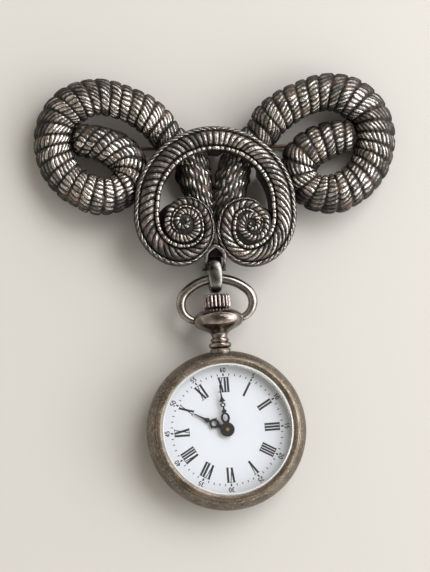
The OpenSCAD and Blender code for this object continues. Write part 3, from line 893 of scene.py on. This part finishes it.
# The edge of the glass: its bevel, a matt pale ring whose colour is a painted highlight, the
# light caught in the glass's edge, which shows as a thin pale line inside the bezel.
material, shader, tone = new_finish("bevel_painted_highlight", Roughness=0.5)
wire_up(tone.noise(2.0).mixed((0.62, 0.62, 0.57), (0.86, 0.86, 0.82)), shader, "Base Color")
# Columns: how far in from the glass's radius, and down from the case's top
bevel = [(0.42, 0.30), (0.36, 0.45), (0.06, 0.60), (0.06, 0.40), (0.20, 0.28), (0.36, 0.23)]
ring = turned_ring([(glass_r - inward, case_t - down) for inward, down in bevel], 160)
cast_piece("glass_bevel", on_watch([ring]), material, "watch")

# The movement and the arbor of the hands: plain turned brass under the dial. Only the
# arbor's tip shows, in the middle of the hands.
material, shader, tone = new_finish("movement_brass", Metallic=1.0, Roughness=0.3)
wire_up(tone.noise(3.0).mixed((0.50, 0.36, 0.16), (0.72, 0.56, 0.30)), shader, "Base Color")
for node in ("movement", "hand_arbor"):
    refinish(node, material)

# The dial: a brass disc enamelled a cool white, with thin black printing on it: Roman
# hours, a minute track and small figures round the edge. Its middle is left plain.
material, shader, tone = new_finish("white_enamel", Coat_Weight=0.25, Coat_Roughness=0.1)
clouds = tone.noise(9.0)
wire_up(clouds.mixed((0.78, 0.82, 0.87), (0.83, 0.865, 0.905)), shader, "Base Color")
wire_up(tone.noise(1.1) * 0.12 + 0.34, shader, "Roughness")
refinish("dial", material)
dial_t, dial_gap = 0.4, 0.05
print_z = dial_z + dial_gap + dial_t
bars = []


def bar(start, end, wide):
    """One printed stroke on the dial, from one point to another."""
    (x0, y0), (x1, y1) = start, end
    length = math.hypot(x1 - x0, y1 - y0)
    nx, ny = -(y1 - y0) / length / 2 * wide, (x1 - x0) / length / 2 * wide
    flat = [(x0 + nx, y0 + ny), (x0 - nx, y0 - ny), (x1 - nx, y1 - ny), (x1 + nx, y1 + ny)]
    points = np.array([[(x, y, z) for x, y in flat] for z in (print_z + 0.004, print_z + 0.02)])
    bars.append(over_grid(points, np.zeros((2, 4))))


def spun(x, y, degrees):
    """A point turned clockwise round the dial."""
    a = math.radians(-degrees)
    return x * math.cos(a) - y * math.sin(a), x * math.sin(a) + y * math.cos(a)


# The hours: the radii of their feet and heads, and the strokes' widths
foot, head = 8.05, 11.15
thick, thin, serif, serif_reach = 0.45, 0.17, 0.12, 0.30
numeral_parts = {"I": 0.62, "V": 1.15, "X": 1.15}
numerals = ["XII", "I", "II", "III", "IIII", "V", "VI", "VII", "VIII", "IX", "X", "XI"]
for hour, numeral in enumerate(numerals):
    squeeze = 0.86 if len(numeral) > 3 else 1.0
    total = sum(numeral_parts[letter] for letter in numeral) * squeeze
    x = -total / 2
    for letter in numeral:
        width = numeral_parts[letter] * squeeze
        middle = x + width / 2
        reach = width / 2 - 0.22
        if letter == "I":
            strokes = [(middle, foot, middle, head, thick * squeeze)]
            feet = [(middle, foot), (middle, head)]
        elif letter == "V":
            strokes = [(middle - reach, head, middle, foot, thick)]
            strokes += [(middle + reach, head, middle, foot, thin)]
            feet = [(middle - reach, head), (middle + reach, head)]
        else:
            strokes = [(middle - reach, head, middle + reach, foot, thick)]
            strokes += [(middle + reach, head, middle - reach, foot, thin)]
            feet = [(middle + a * reach, b) for a in (-1, 1) for b in (foot, head)]
        for fx, fy in feet:
            strokes.append((fx - serif_reach * squeeze, fy, fx + serif_reach * squeeze, fy, serif))
        for x0, y0, x1, y1, wide in strokes:
            bar(spun(x0, y0, 30 * hour), spun(x1, y1, 30 * hour), wide)
        x += width
# The minute track, with a bolder stroke at each hour
for minute in range(60):
    bold = minute % 5 == 0
    start, end, wide = (11.45, 12.0, 0.32) if bold else (11.5, 11.95, 0.18)
    bar(spun(0, start, 6 * minute), spun(0, end, 6 * minute), wide)
# The small figures, each one open line in a unit box, outside the track
figure_foot, tall, wide, gap, figure_stroke = 12.25, 0.92, 0.52, 0.13, 0.18
oval_turn = np.linspace(0, 2 * math.pi, 13)
oval = [(0.5 + 0.42 * math.sin(t), 0.5 + 0.5 * math.cos(t)) for t in oval_turn]
figures = {
    "0": oval,
    "1": [(0.2, 0.78), (0.55, 1.0), (0.55, 0.0)],
    "2": [(0.08, 0.78), (0.25, 0.97), (0.6, 1.0), (0.88, 0.8), (0.8, 0.55), (0.1, 0.0), (0.92, 0.0)],
    "3": [(0.1, 0.9), (0.5, 1.0), (0.85, 0.78), (0.5, 0.54), (0.9, 0.28), (0.5, 0.0), (0.08, 0.12)],
    "4": [(0.72, 0.0), (0.72, 1.0), (0.05, 0.3), (0.95, 0.3)],
    "5": [(0.85, 1.0), (0.22, 1.0), (0.15, 0.56), (0.6, 0.62), (0.9, 0.32), (0.55, 0.0), (0.1, 0.1)],
    "6": [(0.8, 0.92), (0.4, 0.95), (0.12, 0.35), (0.45, 0.0), (0.88, 0.25), (0.6, 0.55), (0.16, 0.42)],
}
for hour in range(12):
    label = str(5 * hour or 60)
    left = -(len(label) * wide + (len(label) - 1) * gap) / 2
    for figure in label:
        drawn = [
            spun(left + x * wide, figure_foot + y * tall, 30 * hour) for x, y in figures[figure]
        ]
        for start, end in zip(drawn, drawn[1:]):
            bar(start, end, figure_stroke)
        left += wide + gap
material, shader, tone = new_finish("printed_black", Roughness=0.45)
wire_up(tone.noise(0.6).mixed((0.012, 0.012, 0.014), (0.03, 0.03, 0.034)), shader, "Base Color")
printing = cast_piece("dial_printing", on_watch(bars), material, "watch")
printing.data.polygons.foreach_set("use_smooth", [False] * len(printing.data.polygons))

# The hands: thin steel, pierced and lacquered black, and pressed onto the brass arbor. The
# hour hand lies under the minute hand.
hand_t, hand_gap, hand_edge = 0.2, 0.2, 0.015
hour_z = dial_z + dial_t + 2 * hand_gap
minute_z = hour_z + hand_t + hand_gap
black_lacquer, shader, tone = new_finish("black_lacquer", Coat_Weight=0.3)
wire_up(tone.noise(0.9).mixed((0.010, 0.010, 0.012), (0.022, 0.022, 0.025)), shader, "Base Color")
wire_up(tone.noise(0.5) * 0.15 + 0.25, shader, "Roughness")


def opening(up, radius, stretch=1.0):
    """A round or oval opening on the middle line of a hand."""
    return [
        (radius * math.cos(t), up + radius * stretch * math.sin(t)) for t in full_turn(28)
    ]


def pierced_hand(name, half_outline, holes, height, degrees, body, replaced):
    """A flat hand filled from its outline and its holes, then given its thickness."""
    outline = half_outline + [(-x, y) for x, y in reversed(half_outline) if abs(x) > 1e-6]
    curve = bpy.data.curves.new(name, "CURVE")
    curve.dimensions = "2D"
    curve.fill_mode = "BOTH"
    curve.extrude = (hand_t / 2 - hand_edge) * 0.001
    curve.bevel_depth = hand_edge * 0.001
    curve.bevel_resolution = 1
    for ring in [outline] + holes:
        spline = curve.splines.new("POLY")
        spline.points.add(len(ring) - 1)
        spline.use_cyclic_u = True
        for point, (x, y) in zip(spline.points, ring):
            sx, sy = spun(x, y, degrees)
            point.co = (sx * 0.001, sy * 0.001, 0, 1)
    drawn = bpy.data.objects.new(name + "_outline", curve)
    bpy.context.scene.collection.objects.link(drawn)
    bpy.context.view_layer.update()
    filled = drawn.evaluated_get(bpy.context.evaluated_depsgraph_get())
    mesh = bpy.data.meshes.new_from_object(filled)
    bpy.data.objects.remove(drawn)
    points = np.zeros(len(mesh.vertices) * 3)
    mesh.vertices.foreach_get("co", points)
    points = points.reshape(-1, 3) * 1000 + (0, 0, height + hand_t / 2)
    points = turned_by(points, watch_lean, (*watch_at, 0))
    mesh.vertices.foreach_set("co", (points * 0.001).reshape(-1))
    mesh.materials.clear()
    mesh.materials.append(black_lacquer)
    hand = bpy.data.objects.new(name, mesh)
    bpy.context.scene.collection.objects.link(hand)
    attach(hand, body)
    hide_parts(replaced)


# One minute to ten, as near as the photo shows. Each outline runs from boss to tip
minutes = 59
boss = [(1.5 * math.sin(t), -1.5 * math.cos(t)) for t in np.linspace(0, 2.75, 16)]
minute_half = boss + [
    (0.72, 1.75), (0.95, 2.3), (0.92, 2.9), (0.62, 3.4), (0.28, 3.62), (0.50, 3.80),
    (0.52, 4.02), (0.26, 4.28), (0.16, 4.60), (0.20, 4.84), (0.46, 5.02), (0.55, 5.30),
    (0.46, 5.58), (0.16, 5.80), (0.16, 5.98), (0.62, 6.02), (0.44, 6.40), (0.20, 6.85),
    (0.13, 7.4), (0.09, 9.4), (0.0, 9.6),
]
holes = [opening(0, 0.45), opening(2.55, 0.50, 1.5), opening(5.30, 0.28)]
pierced_hand(
    "minute_hand_pierced", minute_half, holes, minute_z, 6 * minutes, "minute", "minute_hand"
)
boss = [(1.48 * math.sin(t), -1.48 * math.cos(t)) for t in np.linspace(0, 2.8, 16)]
hour_half = boss + [
    (0.40, 1.65), (0.34, 1.95), (0.70, 2.25), (0.93, 2.70), (0.97, 3.06), (1.35, 3.05),
    (0.98, 3.45), (0.72, 3.80), (0.36, 4.02), (0.20, 4.25), (0.55, 4.50), (0.40, 4.95),
    (0.20, 5.35), (0.15, 6.0), (0.10, 7.7), (0.0, 7.9),
]
holes = [opening(0, 0.45), opening(3.06, 0.57)]
pierced_hand(
    "hour_hand_pierced", hour_half, holes, hour_z, 30 * (9 + minutes / 60), "hour", "hour_hand"
)

# The floor: a plain pale matt sheet, 4 m wide, that the pin lies on. It lies a hair lower
# than the pin's back, so that the two never share a surface.
floor_mesh = bpy.data.meshes.new("floor")
floor_mesh.from_pydata([(-2, -2, 0), (2, -2, 0), (2, 2, 0), (-2, 2, 0)], [], [(0, 1, 2, 3)])
floor = bpy.data.objects.new("floor", floor_mesh)
bpy.context.scene.collection.objects.link(floor)
floor.location.z = -0.00002
pale = (0.568, 0.556, 0.533, 1.0)
material, shader, tone = new_finish("pale_floor", Base_Color=pale, Roughness=0.85)
floor.data.materials.append(material)

# The light: two large soft windows on the right, and a grey room that is darker overhead
# and on the left, so that the metal has something to mirror.
world = bpy.data.worlds.new("room")
bpy.context.scene.world = world
world.use_nodes = True
left_wall, right_wall, ceiling = (0.80, 0.76, 0.69), (2.8, 2.73, 2.62), (0.17, 0.145, 0.115)
room = Tone(world.node_tree)
way = room.add("TexCoord", out="Generated")
up = room.add("SeparateXYZ", None, {"Vector": way}, out="Z")
right = room.add("SeparateXYZ", None, {"Vector": way}, out="X")
walls = right.between(-0.15, 0.85).mixed(left_wall, right_wall)
background = world.node_tree.nodes["Background"]
wire_up(up.between(0.0, 1.0).mixed(walls, ceiling), background, "Color")
background.inputs["Strength"].default_value = 1.24


def lamp(name, place, size, power, colour):
    """A soft lit rectangle that faces the middle of the pin."""
    light = bpy.data.lights.new(name, "AREA")
    light.shape = "RECTANGLE"
    light.size, light.size_y = size
    light.energy = power
    light.color = colour
    holder = bpy.data.objects.new(name, light)
    bpy.context.scene.collection.objects.link(holder)
    holder.location = place
    holder.rotation_euler = (-holder.location).to_track_quat("-Z", "Y").to_euler()


lamp("window", (0.28, 0.30, 0.50), (0.42, 0.34), 2.45, (1.0, 0.99, 0.975))
lamp("second_window", (0.48, -0.02, 0.33), (0.40, 0.34), 1.6, (0.98, 0.985, 1.0))
bpy.context.scene.view_settings.view_transform = "Standard"

# The camera looks down as the photograph does, a little from the watch's side and a
# little from the left, with the photograph's framing.
camera = bpy.data.objects.new("camera", bpy.data.cameras.new("camera"))
bpy.context.scene.collection.objects.link(camera)
bpy.context.scene.camera = camera
picture_height, pixels_per_mm = 572, 4.7
distance, seen_height = 0.75, picture_height / pixels_per_mm * 0.001
middle_x, middle_y, middle_z = 0.0008, 0.0012, 0.0060
tilt_y, tilt_x = math.radians(6.5), math.radians(4.0)
camera.location = (
    middle_x - distance * math.sin(tilt_x),
    middle_y - distance * math.sin(tilt_y),
    middle_z + distance * math.cos(tilt_y) * math.cos(tilt_x),
)
camera.rotation_euler = (tilt_y, -tilt_x, 0)
camera.data.sensor_fit = "VERTICAL"
camera.data.sensor_height = 24
camera.data.lens = 24 * distance / seen_height
camera.data.clip_start = 0.01
